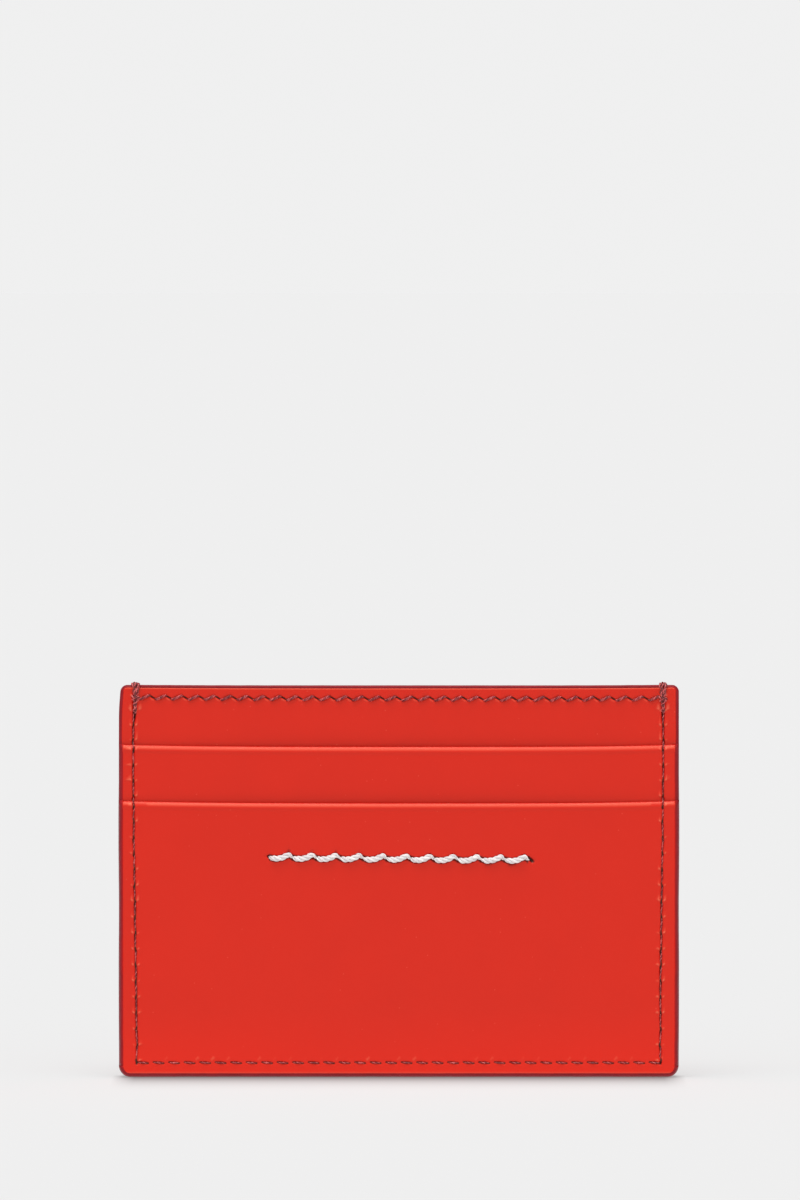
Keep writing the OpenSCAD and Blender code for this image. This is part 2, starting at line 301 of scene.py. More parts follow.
def base_mark(row, along, across):
    """Depth and darkness of the base seam: a slanted bed for each stitch, and plain leather between. The
    darkness is painted shade in the beds and at the holes, and below nothing a painted highlight on the
    puckers.
    """
    if abs(across) > 1.6 or abs(along) > SEAM_X:
        return 0.0, 0.0
    gap, index = nearest(row, along)
    jitter = waver(index * 2.3, 1.7, 4.4)
    across -= 0.13 * math.copysign(1, gap) * clamp(1.2 - abs(gap))
    bed = bell(across, BED, 4) * (1 - bell(gap, 0.46, 4))
    end = ridge(abs(gap) - 0.5, across, 0.17, 0.13)
    pucker = ridge(gap, across - 0.75, 0.35, 0.3) * clamp(0.3 + 1.5 * jitter)
    return 0.12 * bed + 0.2 * end - 0.05 * pucker, max(0.48 * bed, 0.9 * end) - 0.5 * pucker


def slit_mark(gap, rise, half_length, half_gap, slope):
    """A slanted awl slit that falls to the right, and the pucker under it, each 1 at its middle."""
    run = math.cos(slope) * gap - math.sin(slope) * rise
    off = math.sin(slope) * gap + math.cos(slope) * rise
    slit = math.exp(-(run / half_length) ** 4 - (off / half_gap) ** 2)
    return slit, ridge(run - 0.15, off + half_gap + 0.2, half_length * 0.8, 0.13)


def side_marks(zone):
    """Marks of both side seams on one of the three faces."""
    row = SIDE_ZONES[zone]
    return lambda x, z: side_mark(row, z, abs(x) - SEAM_X - drift(x, z))


def base_marks(x, z):
    """Marks of the base seam."""
    return base_mark(BASE_ROW, x, z - BASE_SEAM_Z)


def row_marks(x, z):
    """Slanted slits of the heavy row under the top edge, and the dent under each stitch. The darkness is
    painted shade in the slits and dents; below nothing it is a painted highlight on the puckers and along
    the rim just under the painted top edge.
    """
    rim = bell(TOP_Z - TOP_COAT - z - 0.2, 0.14)
    rise = z - row_level(x)
    if abs(rise) > 1.6 or abs(x) > SEAM_X - 1:
        return 0.0, -0.5 * rim
    gap, _ = nearest(TOP_ROW, x)
    slit, pucker = slit_mark(gap, rise, *ROW_SLIT)
    pitch = TOP_ROW[1] - TOP_ROW[0]
    behind = abs(gap) - pitch / 2
    dent = ridge(behind, rise - 0.4 * math.copysign(behind, -gap), 0.85, 0.36)
    return 0.32 * slit + 0.1 * dent - 0.09 * pucker, max(slit, 0.36 * dent) - 0.5 * pucker - 0.5 * rim


def tack_marks(x, z):
    """Painted shade in the hollow under the wraps of a corner tack and in the hole that its doubled thread
    enters, with painted highlights on the puckers beside the hole.
    """
    across = abs(x) - TACK_X
    if abs(across) > 2 or z < TACK_FOOT - 1.5:
        return 0.0, 0.0
    hollow = ridge(across, z - TOP_Z + 1.2, 0.4, 1.0)
    hole = ridge(z - TACK_FOOT, across, 0.4, 0.26)
    away = abs(across) - 0.85
    pucker = ridge(z - TACK_FOOT - 0.8 - 0.3 * away, away, 0.2, 0.32)
    return 0.2 * hole - 0.14 * pucker, max(0.8 * hollow, hole) - 0.7 * pucker


CORD_R = 0.56
# One large stitch: share of its length, rise and distance out of the face
CORD_SHAPE = [(0.0, 0.04, -0.5), (0.03, -0.03, -0.12), (0.09, -0.13, 0.1), (0.2, -0.24, 0.2),
              (0.34, -0.25, 0.24), (0.5, -0.14, 0.27), (0.66, 0.12, 0.3), (0.77, 0.38, 0.32),
              (0.85, 0.44, 0.26), (0.92, 0.16, 0.12), (0.99, -0.06, -0.1), (1.02, -0.12, -0.5)]


def between(table, at, column):
    """A value from a table whose rows begin with a rising position."""
    for low, high in zip(table, table[1:]):
        if at <= high[0]:
            share = clamp((at - low[0]) / (high[0] - low[0]))
            return low[column] + (high[column] - low[column]) * share
    return table[-1][column]


def cord_marks(x, z):
    """Punched holes of the large contrast stitches, and the bed that each one lies in. The darkness is
    painted shade in the holes, and a painted shadow round the edge of each stitch's bed.
    """
    height = z - cord_level(x)
    if abs(height) > 1.6 or abs(x) > CORD_HALF + 1.6:
        return 0.0, 0.0
    gap, index = nearest(CORD_ROW, x)
    last = CORD_TEAR if index == CORD_COUNT else 0.0
    half_length, half_gap, slope = CORD_SLIT
    slit, pucker = slit_mark(gap - last, height - last * 0.1, half_length + last,
                             half_gap + last * 0.2, slope)
    if abs(x) > CORD_HALF:
        return 0.5 * slit - 0.05 * pucker, slit
    pitch = CORD_ROW[1] - CORD_ROW[0]
    rise = height - between(CORD_SHAPE, (x + CORD_HALF) / pitch % 1.0, 1)
    bed = bell(rise, CORD_R - 0.04, 6)
    rim = bell(rise + 0.05, CORD_R + 0.11, 8)
    return max(0.5 * slit, 0.26 * bed), max(slit, 0.5 * rim)


def rim_roll(x, z, lowest):
    """How far the leather's rim rolls back where it meets the painted edge."""
    side = half_width(z) - abs(x)
    low = z - lowest
    lip = 0.045 * ridge(low - 0.3, 0, 0.22, 1) * clamp(side)
    return 0.1 * (1 - ease(min(side, low) / 0.4)) - lip


def lip_bead(z, lip):
    """The turned lip stands a little proud, and falls back to the face below it."""
    return -0.055 * (1 + math.cos(math.pi * clamp((lip - z - 0.75) / 0.8)))


# ---- Building meshes ----

def spaced(start, end, step):
    """Even lines from start towards end, no further apart than step, without the end."""
    count = max(1, math.ceil((end - start) / step - 1e-6))
    return [start + (end - start) * i / count for i in range(count)]


def lines(start, end, spots=(), reach=0.45, fine=0.21, coarse=2.2):
    """Grid lines from start to end, closer together around each spot."""
    spots = [spot for spot in spots if start - reach < spot < end + reach]
    marks = {start, end}
    for spot in spots:
        marks |= {mark for mark in (spot - reach, spot + reach) if start < mark < end}
    marks = sorted(marks)
    result = []
    for low, high in zip(marks, marks[1:]):
        near = any(abs((low + high) / 2 - spot) < reach for spot in spots)
        result += spaced(low, high, fine if near else coarse)
    return result + [end]


def closed_grid(us, vs, place):
    """A closed form from a grid whose last v repeats the first, each point set by place(u, v)."""
    bm = bmesh.new()
    # Each point also carries a value: painted shade and painted highlight on the leather, and the feather on
    # the painted edges.
    painted_light_and_feather = bm.verts.layers.float.new("painted_light_and_feather")
    bmesh.ops.create_grid(bm, x_segments=len(us) - 1, y_segments=len(vs) - 1, size=1)
    for vert in bm.verts:
        column = round((vert.co.x + 1) / 2 * (len(us) - 1))
        row = round((vert.co.y + 1) / 2 * (len(vs) - 1))
        vert.co, vert[painted_light_and_feather] = place(us[column], vs[row])
    bmesh.ops.remove_doubles(bm, verts=bm.verts, dist=1e-7)
    bmesh.ops.holes_fill(bm, edges=[edge for edge in bm.edges if edge.is_boundary], sides=0)
    bmesh.ops.recalc_face_normals(bm, faces=bm.faces)
    for face in bm.faces:
        face.smooth = len(face.verts) <= 4
    return bm


def add_object(name, data):
    """A new object in the scene, at the origin."""
    made = bpy.data.objects.new(name, data)
    bpy.context.scene.collection.objects.link(made)
    return made


def mesh_of(name, bm):
    """The finished mesh of a bmesh."""
    mesh = bpy.data.meshes.new(name)
    bm.to_mesh(mesh)
    bm.free()
    return mesh


def add_piece(name, bm, look, *nodes):
    """Turns a bmesh into a finished piece that stands for the named nodes."""
    return finish_piece(name, mesh_of(name, bm), look, *nodes)


def finish_piece(name, mesh, look, *nodes):
    """Gives a finished mesh its body and its material, and hides the nodes that it stands for."""
    material, slot = look
    mesh.materials.clear()
    mesh.materials.append(material)
    piece = add_object(name, mesh)
    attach(piece, "root")
    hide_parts(*nodes)
    return piece


# Shape of a turned lip: how flat its front shoulder is, in how many steps it and the back
# shoulder turn, and how far the turned part reaches down the back
FLATNESS = 1.3
FRONT_STEPS = 10
BACK_STEPS = 4
LIP_TURN = 0.85


def wrap_rows(zs, thick, front, back, extra=0.0, back_step=5.0):
    """Rows (z, depth, on the face) up the face of a sheet, over its lip and down its back.

    front and back are the height and depth of the lip's two rounded shoulders, and extra is how
    much thicker the sheet is along the turned lip.
    """
    rows = [(z, 0.0, 1) for z in zs if z < zs[-1] - front[0] - 1e-6]
    top = zs[-1]
    for k in range(FRONT_STEPS + 1):
        turn = math.radians(90 / FRONT_STEPS * k)
        fall = front[0] * (1 - math.sin(turn) ** FLATNESS)
        rows.append((top - fall, front[1] * (1 - math.cos(turn) ** FLATNESS), 1 - k / FRONT_STEPS))
    for k in range(BACK_STEPS + 1):
        turn = math.radians(90 / BACK_STEPS * k)
        depth = thick + extra - back[1] * (1 - math.sin(turn))
        rows.append((top - back[0] * (1 - math.cos(turn)), depth, 0))
    turned = top - LIP_TURN
    rows += [(turned, thick + extra, 0), (turned - 0.06, thick, 0)]
    rows += [(z, thick, 0) for z in reversed(spaced(zs[0], turned - 0.12, back_step))]
    return rows + [rows[0]]


def leather_sheet(leaf, piece, xs, zs, marks, front, back, lip=None, extra=0.0):
    """A leather panel with a rounded upper lip, its seam marks pressed in, closed at its back."""
    side = side_of(leaf)
    inner, outer = layer(piece)
    lowest = zs[0]
    rows = wrap_rows(zs, outer - inner, front, back, extra)
    wide = max(xs)

    def place(x, row):
        z, depth, shown = row
        x *= half_width(z) / wide
        # dark is painted shade from the marks, and below nothing a painted highlight.
        dark = 0.0
        if shown:
            for mark in marks:
                sunk, hole = mark(x, z)
                depth += sunk * shown
                dark = hole if abs(hole) > abs(dark) else dark
            depth += rim_roll(x, z, lowest)
            # Painted highlight on the rim just above the lowest row, and on the bead of a turned lip.
            lit = bell(z - lowest - 0.24, 0.14)
            if lip:
                depth += lip_bead(z, lip)
                lit = max(lit, 1.1 * bell(lip - z - 0.45, 0.26))
            dark = dark - PAINTED_HIGHLIGHT_STRENGTH * lit * (dark <= 0)
        point = placed(side, x, outer, z)
        point.y -= side * depth * MM
        return point, dark

    return closed_grid(xs, rows, place)


def plain_sheet(leaf, piece, x_low, x_high, step=2.4, ease_top=0.05):
    """A lining, divider or filler: a thin solid that follows the bow of its leaf."""
    node = f"{leaf}_{piece}" if leaf else piece
    low, high = mm_box(node)
    side = side_of(leaf)
    inner, outer = (low.y, high.y) if side > 0 else (-high.y, -low.y)
    bottom = max(low.z, BASE_COAT)
    top = min(high.z, TOP_Z - TOP_COAT)
    soft = min(ease_top, (outer - inner) / 2)
    xs = lines(x_low, x_high, coarse=step)
    zs = lines(bottom, top, coarse=step)
    rows = wrap_rows(zs, outer - inner, (soft, soft), (soft, soft), back_step=step)
    wide = max(abs(x_low), abs(x_high))

    def place(x, row):
        z, depth, _ = row
        if wide > SEAM_X and abs(x) > FILLER_X:
            reach = half_width(z)
            x = math.copysign(FILLER_X + (abs(x) - FILLER_X) * (reach - FILLER_X) / (wide - FILLER_X), x)
        return placed(side, x, outer - depth, z), 0.0

    return closed_grid(xs, rows, place)


# ---- Leather panels ----

# Height and depth of the shoulders of a turned lip and of the thin cut edge under the paint
LIP_FRONT = (0.95, 0.56)
LIP_BACK = (0.2, 0.11)
LIP_EXTRA = 0.18
CUT_FRONT = (0.3, 0.28)
CUT_BACK = (0.02, 0.02)


def side_spots():
    """Where a panel's grid is fine across the two side seams."""
    return [sign * SEAM_X + off for sign in (-1, 1) for off in (-0.45, 0.45)]


def base_lines(start, end, spots, fine):
    """Lines up a panel whose base corners are rounded."""
    bend = BASE_R + 0.3
    return lines(start, bend, coarse=0.2)[:-1] + lines(bend, end, spots, fine=fine, coarse=1.2)


def make_outer_panel(leaf):
    """The outer pocket, with both seams, and on the front the large contrast row."""
    marks = [side_marks(0), base_marks]
    x_spots = side_spots() + BASE_ROW
    z_spots = SIDE_ZONES[0] + [SEAM_Z + 0.6, OUTER_LIP - 1.4]
    if leaf == "front":
        marks.append(cord_marks)
        x_spots = x_spots + CORD_ROW + [CORD_HALF + 0.5]
        z_spots = z_spots + [CORD_Z - 0.6, CORD_Z, CORD_Z + 0.6]
    ends = [-SHEET_HALF, SHEET_HALF]
    xs = lines(*ends, x_spots + ends, fine=0.17, coarse=0.5)
    zs = base_lines(BASE_COAT, OUTER_LIP, z_spots, 0.12)
    bm = leather_sheet(leaf, "outer_panel", xs, zs, marks, LIP_FRONT, LIP_BACK, OUTER_LIP, LIP_EXTRA)
    add_piece(f"{leaf}_outer_pocket", bm, FACE_LEATHER, f"{leaf}_outer_panel")


def make_mid_band(leaf):
    """The band that shows above the outer pocket."""
    wide = HALF_W - MID_COAT
    low = heights(f"{leaf}_mid_band")[0]
    xs = lines(-wide, wide, side_spots() + [-wide, wide], fine=0.12, coarse=1.0)
    zs = lines(low, MID_LIP, SIDE_ZONES[1] + [MID_LIP - 1.4], fine=0.12, coarse=1.2)
    bm = leather_sheet(leaf, "mid_band", xs, zs, [side_marks(1)], LIP_FRONT, LIP_BACK, MID_LIP, LIP_EXTRA)
    add_piece(f"{leaf}_middle_band", bm, FACE_LEATHER, f"{leaf}_mid_band")


def make_inner_panel(leaf):
    """The tallest panel, with the heavy row and the corner tacks."""
    wide = HALF_W - HIGH_COAT
    rim = TOP_Z - TOP_COAT
    xs = lines(-wide, wide, side_spots() + [-wide, wide], fine=0.12, coarse=0.17)
    zs = base_lines(BASE_COAT, MID_LIP - 1, [], 1)
    row = [ROW_Z - 0.6, ROW_Z, ROW_Z + 0.6, ROW_Z + 1.3, rim]
    zs += lines(MID_LIP - 0.9, rim, SIDE_ZONES[2] + row, fine=0.13)
    marks = [side_marks(2), row_marks, tack_marks]
    bm = leather_sheet(leaf, "inner_panel", xs, zs, marks, CUT_FRONT, CUT_BACK)
    add_piece(f"{leaf}_tall_panel", bm, FACE_LEATHER, f"{leaf}_inner_panel")


# ---- Linings and fillers ----

def make_inside(leaf):
    """The woven layers and the margin fillers of one leaf."""
    for piece in ("outer_lining", "mid_divider", "inner_lining"):
        bm = plain_sheet(leaf, piece, -SHEET_HALF, SHEET_HALF)
        add_piece(f"{leaf}_{piece}_cloth", bm, LINING, f"{leaf}_{piece}")
    bm = plain_sheet(leaf, "divider_hem", -FILLER_X + 0.1, FILLER_X - 0.1, ease_top=0.35)
    add_piece(f"{leaf}_divider_hem_roll", bm, LINING, f"{leaf}_divider_hem")
    for place in ("outer", "inner"):
        make_fillers(leaf, f"{place}_filler")


def make_fillers(leaf, stem):
    """Filler strips down both sides and along the base, set by the frame's boxes."""
    ends = {"left": (-SHEET_HALF, -FILLER_X), "right": (FILLER_X, SHEET_HALF),
            "base": (-SHEET_HALF, SHEET_HALF)}
    for end, (low, high) in ends.items():
        node = f"{leaf}_{stem}_{end}" if leaf else f"{stem}_{end}"
        bm = plain_sheet(leaf, f"{stem}_{end}", low, high, step=1.2, ease_top=0.12)
        add_piece(f"{node}_strip", bm, FILLER, node)


# ---- Painted edges ----

def coat_section(reach, half):
    """Section of the painted edge as (inset, y, feather and light): beads on both faces, a dome between."""
    rolled = half - 0.09
    lap = reach + COAT_LAP
    front = [(lap + 0.01, rolled - 0.01), (lap - 0.03, rolled + 0.055), (reach, rolled + 0.06)]
    dome = []
    for k in range(1, 16):
        turn = math.radians(90 - 12 * k)
        inset = reach * (1 - abs(math.cos(turn)) ** 0.85)
        dome.append((inset, math.copysign((rolled + 0.03) * abs(math.sin(turn)) ** 0.7, turn)))
    ring = front + dome + [(inset, -y) for inset, y in reversed(front)]
    ring += [(reach + 0.02, -rolled + 0.06), (reach + 0.02, 0), (reach + 0.02, rolled - 0.06)]
    # The third value rises towards the face: the coat thins to the red of the leather there, and it is
    # painted light for the rounded edge turning to the front.
    return [(inset, y, clamp((inset / lap - 0.3) / 0.7) ** 2) for inset, y in ring]


def corner(centre_x, centre_z, radius, start, end, count=9):
    """Points (x, z, outward x, outward z) round a corner, from angle start to end in degrees."""
    turns = [math.radians(start + (end - start) * k / count) for k in range(count + 1)]
    return [(centre_x + radius * math.cos(t), centre_z + radius * math.sin(t), math.cos(t), math.sin(t))
            for t in turns]


def side_path():
    """The right silhouette, from the tack down to the start of the base corner."""
    path = [(x, TOP_Z, 0, 1) for x in spaced(TACK_X, HALF_W - TOP_R, 0.5)]
    path += corner(HALF_W - TOP_R, TOP_Z - TOP_R, TOP_R, 90, 0)
    zs = lines(BASE_R, TOP_Z - TOP_R, [OUTER_LIP - 0.25, MID_LIP - 0.25], fine=0.1, coarse=0.7)
    return path + [(HALF_W, z, 1, 0) for z in reversed(zs[:-1])]


def base_path():
    """The base silhouette, from its right corner round to its left corner."""
    path = corner(HALF_W - BASE_R, BASE_R, BASE_R, 0, -90)
    path += [(x, 0, 0, -1) for x in reversed(lines(-HALF_W + BASE_R, HALF_W - BASE_R, coarse=0.8)[1:-1])]
    return path + corner(-HALF_W + BASE_R, BASE_R, BASE_R, -90, -180)


def painted_edge(path, mirror):
    """Sweeps the painted edge along a silhouette, with the slight waver of a hand-laid coat."""
    rings = []
    for x, z, out_x, out_z in path:
        top, base = clamp(out_z), clamp(-out_z)
        reach = coat_reach(z) * (1 - top - base) + TOP_COAT * top + BASE_COAT * base
        reach += noise.noise(Vector((x, z, 3.3)) * 0.35) * 0.08 * (1 - top)
        reach += noise.noise(Vector((x, z, 9.1)) * 1.3) * 0.03
        stray = noise.noise(Vector((x, z, 6.1)) * 0.11) * 0.07
        section = coat_section(reach, edge_half(z))
        ring = []
        for inset, y, feather_and_light in section:
            at_x, at_z = mirror * (x - out_x * (inset + stray)), z - out_z * inset
            # Along the base the feather is mostly left out, as painted shade on the edge that faces down.
            ring.append((Vector((at_x + taper(at_x, at_z), y, at_z)) * MM, feather_and_light * (1 - 0.85 * base)))
        rings.append(ring)
    around = list(range(len(rings[0]))) + [0]
    return closed_grid(range(len(rings)), around, lambda u, v: rings[u][v])


def top_edge(leaf):
    """The painted upper edge of one leaf between the two tacks."""
    side = side_of(leaf)
    low, high = layer("inner_lining")[0], INNER_FACE
    middle, half = (low + high) / 2, (high - low) / 2
    base = TOP_Z - TOP_COAT
    turns = [math.radians(20 * k) for k in range(10)]
    ring = [(middle + half * math.cos(t), base + (TOP_COAT + 0.03) * math.sin(t) ** 0.8) for t in turns]
    ring += [(low - 0.02, base - 0.2), (low + 0.06, base - 0.2), (low + 0.06, base),
             (high - 0.12, base), (high - 0.12, base - 0.12), (high - 0.06, base - 0.1)]

    def place(x, k):
        y, z = ring[k]
        return placed(side, x, y, z + waver(x * 0.4, side, 5) * 0.02), 0.0

    return closed_grid(lines(-TACK_X, TACK_X, coarse=1.2), list(range(len(ring))) + [0], place)


def make_edges():
    """The painted coats of the three closed sides and of both open top edges."""
    add_piece("right_painted_edge", painted_edge(side_path(), 1), PAINT, "edge_coat_right")
    add_piece("left_painted_edge", painted_edge(side_path(), -1), PAINT, "edge_coat_left")
    add_piece("base_painted_edge", painted_edge(base_path(), 1), PAINT, "edge_coat_base")
    for leaf in ("front", "rear"):
        add_piece(f"{leaf}_painted_top", top_edge(leaf), PAINT, f"{leaf}_top_edge_coat")


# ---- Threads ----

def smooth_path(points, count):
    """Even samples along a smooth curve through the points (Catmull-Rom)."""
    points = [points[0]] + list(points) + [points[-1]]
    spans = len(points) - 3
    result = []
    for k in range(count + 1):
        at = min(k / count * spans, spans - 1e-9)
        i, t = int(at), at - int(at)
        a, b, c, d = points[i:i + 4]
        result.append(0.5 * ((2 * b) + (c - a) * t + (2 * a - 5 * b + 4 * c - d) * t * t
                             + (3 * b - a - 3 * c + d) * t ** 3))
    return result


def ramp(value):
    """A soft step from 0 to 1."""
    value = clamp(value)
    return value * value * (3 - 2 * value)


def thinning(share, ends):
    """Thickness of a thread at a share of its length. ends holds (thickness, share) twice."""
    (start, start_share), (end, end_share) = ends
    near_start = start + (1 - start) * ramp(share / start_share)
    near_end = end + (1 - end) * ramp((1 - share) / end_share)
    return min(near_start, near_end)


# Share of its room that each ply fills, so that the twist shows
PLY_SLACK = 0.92
SEAM_THREAD_R = 0.2
ROW_THREAD_R = 0.29
TACK_THREAD_R = 0.25


def twisted_thread(name, paths, radius, plies, lay, look, node, out, sides, samples,
                   ends=((0.5, 0.25), (0.5, 0.25))):
    """Twists plies round each path. Every path is a list of points in metres.

    out is the outward direction, lay the length of one turn of the plies in millimetres, and ends
    how thin each end gets and over what share of the length.
    """
    ply_r = radius / (1 + 1 / math.sin(math.pi / plies))
    ring_r = radius - ply_r
    curve = bpy.data.curves.new(name, "CURVE")
    curve.dimensions = "3D"
    curve.bevel_depth = ply_r * PLY_SLACK * MM
    curve.bevel_resolution = sides
    curve.use_fill_caps = True
    for number, path in enumerate(paths):
        points = smooth_path(path, samples)
        length = sum((b - a).length for a, b in zip(points, points[1:]))
        for ply in range(plies):
            spline = curve.splines.new("POLY")
            spline.points.add(len(points) - 1)
            travelled = 0.0
            for i, point in enumerate(points):
                before, after = points[max(i - 1, 0)], points[min(i + 1, len(points) - 1)]
                travelled += (point - points[i - 1]).length if i else 0
                along = (after - before).normalized()
                across = along.cross(out).normalized()
                up = across.cross(along)
                turn = math.tau * (ply / plies + travelled / (lay * MM)) + number * 1.7
                thin = thinning(travelled / length, ends)
                offset = (up * math.cos(turn) + across * math.sin(turn)) * ring_r * thin * MM
                spline.points[i].co = (*(point + offset), 1)
                spline.points[i].radius = thin
    holder = add_object(name, curve)
    mesh = bpy.data.meshes.new_from_object(holder.evaluated_get(bpy.context.evaluated_depsgraph_get()))
    bpy.data.objects.remove(holder)
    mesh.name = name
    mesh.shade_smooth()
    # Painted shade: one ply is marked darkest, so that the twist shows.
    each = len(mesh.vertices) // (len(paths) * plies)
    painted_light_and_feather = mesh.attributes.new("painted_light_and_feather", "FLOAT", "POINT")
    for index, value in enumerate(painted_light_and_feather.data):
        value.value = 1 - index // each % plies / (plies - 1)
    return finish_piece(name, mesh, look, node)


def flush_stitch(side, face, start, end, out):
    """A machine stitch from one needle hole to the next, sunk at its ends."""
    (x0, z0), (x1, z1) = start, end
    low = out - 0.12
    # Share of the stitch and distance out of the face
    shape = [(0.03, -0.4), (0.14, low - 0.1), (0.3, low), (0.5, out), (0.7, low), (0.86, low - 0.1),
             (0.97, -0.4)]
    return [on_face(side, face, x0 + (x1 - x0) * t, z0 + (z1 - z0) * t, o) for t, o in shape]


def lip_stitch(side, sign, zone):
    """The stitch that climbs over a lip, from the face above it to the face below it."""
    lip = (OUTER_LIP, MID_LIP)[zone]
    low_face, high_face = (OUTER_FACE, MID_FACE)[zone], (MID_FACE, INNER_FACE)[zone]
    x = sign * (SEAM_X + drift(sign, lip))
    # Distance from the middle plane, rise above the lip and distance out of the face
    shape = [(high_face, LIP_CLEAR, -0.3), (high_face, LIP_CLEAR * 0.75, 0.05), (high_face, 0.25, 0.25),
             ((high_face + low_face) / 2, 0.12, 0.16), (low_face, -0.1, -0.06), (low_face, -0.4, 0.06),
             (low_face, -0.62, 0.02), (low_face, -LIP_CLEAR, -0.3)]
    return [on_face(side, face, x, lip + rise, out) for face, rise, out in shape]


def make_seam_threads(leaf):
    """Lockstitch of the two sides and the base on one leaf."""
    side = side_of(leaf)
    paths = []
    for sign in (-1, 1):
        for zone, face in enumerate((OUTER_FACE, MID_FACE, INNER_FACE)):
            row = SIDE_ZONES[zone][:-1] if zone == 2 else SIDE_ZONES[zone]
            for i, (low, high) in enumerate(zip(row, row[1:])):
                shake = waver(sign * 3.3, zone * 5.1, i * 1.7)
                lean, out = 0.05 + 0.28 * shake, 0.24 * abs(shake)
                start = (sign * (SEAM_X + drift(sign, low)) - lean, low)
                end = (sign * (SEAM_X + drift(sign, high)) + lean, high)
                paths.append(flush_stitch(side, face, start, end, out))
        paths += [lip_stitch(side, sign, zone) for zone in (0, 1)]
    for i, (low, high) in enumerate(zip(BASE_ROW, BASE_ROW[1:])):
        lean = 0.05 + 0.04 * waver(i * 1.3, 4, 1)
        start, end = (low + 0.36, BASE_SEAM_Z + 0.02 + lean), (high - 0.36, BASE_SEAM_Z - 0.02 - lean)
        paths.append(flush_stitch(side, OUTER_FACE, start, end, 0.1))
    twisted_thread(f"{leaf}_seam_stitches", paths, SEAM_THREAD_R, 2, 0.9, SEAM_THREAD,
                   f"seam_thread_{leaf}", Vector((0, side, 0)), sides=0, samples=9,
                   ends=((0.35, 0.45), (0.35, 0.45)))


def make_top_row(leaf):
    """Heavy slanted stitches between the two tacks."""
    side = side_of(leaf)
    # Share of the pitch, rise and distance out of the face
    shape = [(0.15, -0.2, -0.3), (0.18, -0.32, -0.06), (0.27, -0.34, 0.14), (0.42, -0.16, 0.2),
             (0.6, 0.08, 0.2), (0.74, 0.3, 0.14), (0.82, 0.32, -0.06), (0.85, 0.2, -0.3)]
    paths = []
    for i, (low, high) in enumerate(zip(TOP_ROW, TOP_ROW[1:])):
        lift = 0.04 * waver(i * 1.9, side, 3)
        paths.append([on_face(side, INNER_FACE, low + (high - low) * t, row_level(low) + rise + lift, out)
                      for t, rise, out in shape])
    twisted_thread(f"{leaf}_top_row", paths, ROW_THREAD_R, 3, -1.3, HEAVY_THREAD,
                   f"{leaf}_top_thread", Vector((0, side, 0)), sides=1, samples=16)


def make_contrast_cord():
    """The large stitches: each lies low at its left, climbs to its right and drops into its hole."""
    pitch = CORD_ROW[1] - CORD_ROW[0]
    paths = []
    for i, low in enumerate(CORD_ROW[:-1]):
        lift = 0.05 * waver(i * 1.7, 2, 8)
        paths.append([on_face(-1, OUTER_FACE, low + pitch * t, cord_level(low) + rise + lift, out)
                      for t, rise, out in CORD_SHAPE])
    twisted_thread("contrast_stitches", paths, CORD_R, 3, 3.1, CORD, "contrast_thread",
                   Vector((0, -1, 0)), sides=3, samples=44, ends=((0.3, 0.24), (0.28, 0.38)))


def make_tack(sign):
    """Thread wrapped over both leaves at a top corner, knotted, and run twice down to the seam."""
    name = "left" if sign < 0 else "right"
    middle = sign * TACK_X
    low, high = TACK_FOOT, row_level(middle) + 0.1
    # Each wrap's places across the tack at the top edge, at its waist and at its foot
    wraps = [(-0.55, 0.2, -0.42), (-0.14, -0.42, 0.3), (0.33, 0.4, -0.1), (0.58, -0.1, 0.42)]
    # Points of the knot and of the doubled thread: distance across, height and distance out
    knot = [(-0.72, high + 0.12, -0.25), (-0.55, high + 0.05, 0.26), (-0.05, high - 0.22, 0.5),
            (0.42, high - 0.1, 0.3), (0.8, high - 0.32, -0.25)]
    twin = [(0.02, low, -0.3), (-0.2, low + 0.5, 0.06), (0.18, (low + high) / 2, 0.2),
            (-0.2, high - 0.75, 0.26), (-0.05, high + 0.1, 0.1)]
    paths = []
    for side in (-1, 1):
        for crown, waist, foot in wraps:
            wrap = [(foot, high - 0.85, -0.3), (foot, high - 0.5, 0.1),
                    ((foot + waist) / 2, high + 0.1, 0.26), (waist, high + 0.85, 0.28),
                    ((waist + 2 * crown) / 3, high + 1.6, 0.2), (crown, high + 2.1, 0.12)]
            over = [on_face(side, INNER_FACE, middle + dx, z, out) for dx, z, out in wrap]
            rise = 0.38 - 0.5 * crown ** 2
            over.append(Vector((middle + crown * 0.85, side * INNER_FACE * 0.5, TOP_Z + rise - 0.04)) * MM)
            over.append(Vector((middle + crown * 0.8, -side * 0.05, TOP_Z + rise)) * MM)
            paths.append(over)
        for turn in (-1, 1):
            paths.append([on_face(side, INNER_FACE, middle + turn * dx, z, out) for dx, z, out in twin])
        paths.append([on_face(side, INNER_FACE, middle + dx, z, out) for dx, z, out in knot])
    twisted_thread(f"{name}_tack", paths, TACK_THREAD_R, 2, 1.5, SEAM_THREAD,
                   f"corner_tack_{name}", Vector((sign * 0.02, -1, 0.05)), sides=1, samples=22,
                   ends=((0.75, 0.1), (0.75, 0.1)))


# ---- Materials ----

def group(name, inputs, outputs):
    """An empty shader node group, with its input and output nodes."""
    tree = bpy.data.node_groups.new(name, "ShaderNodeTree")
    for socket, value in inputs.items():
        kind = "NodeSocketVector" if value is None else "NodeSocketFloat"
        made = tree.interface.new_socket(socket, in_out="INPUT", socket_type=kind)
        if value is not None:
            made.default_value = value
    for socket in outputs:
        tree.interface.new_socket(socket, in_out="OUTPUT", socket_type="NodeSocketFloat")
    return tree, tree.nodes.new("NodeGroupInput"), tree.nodes.new("NodeGroupOutput")


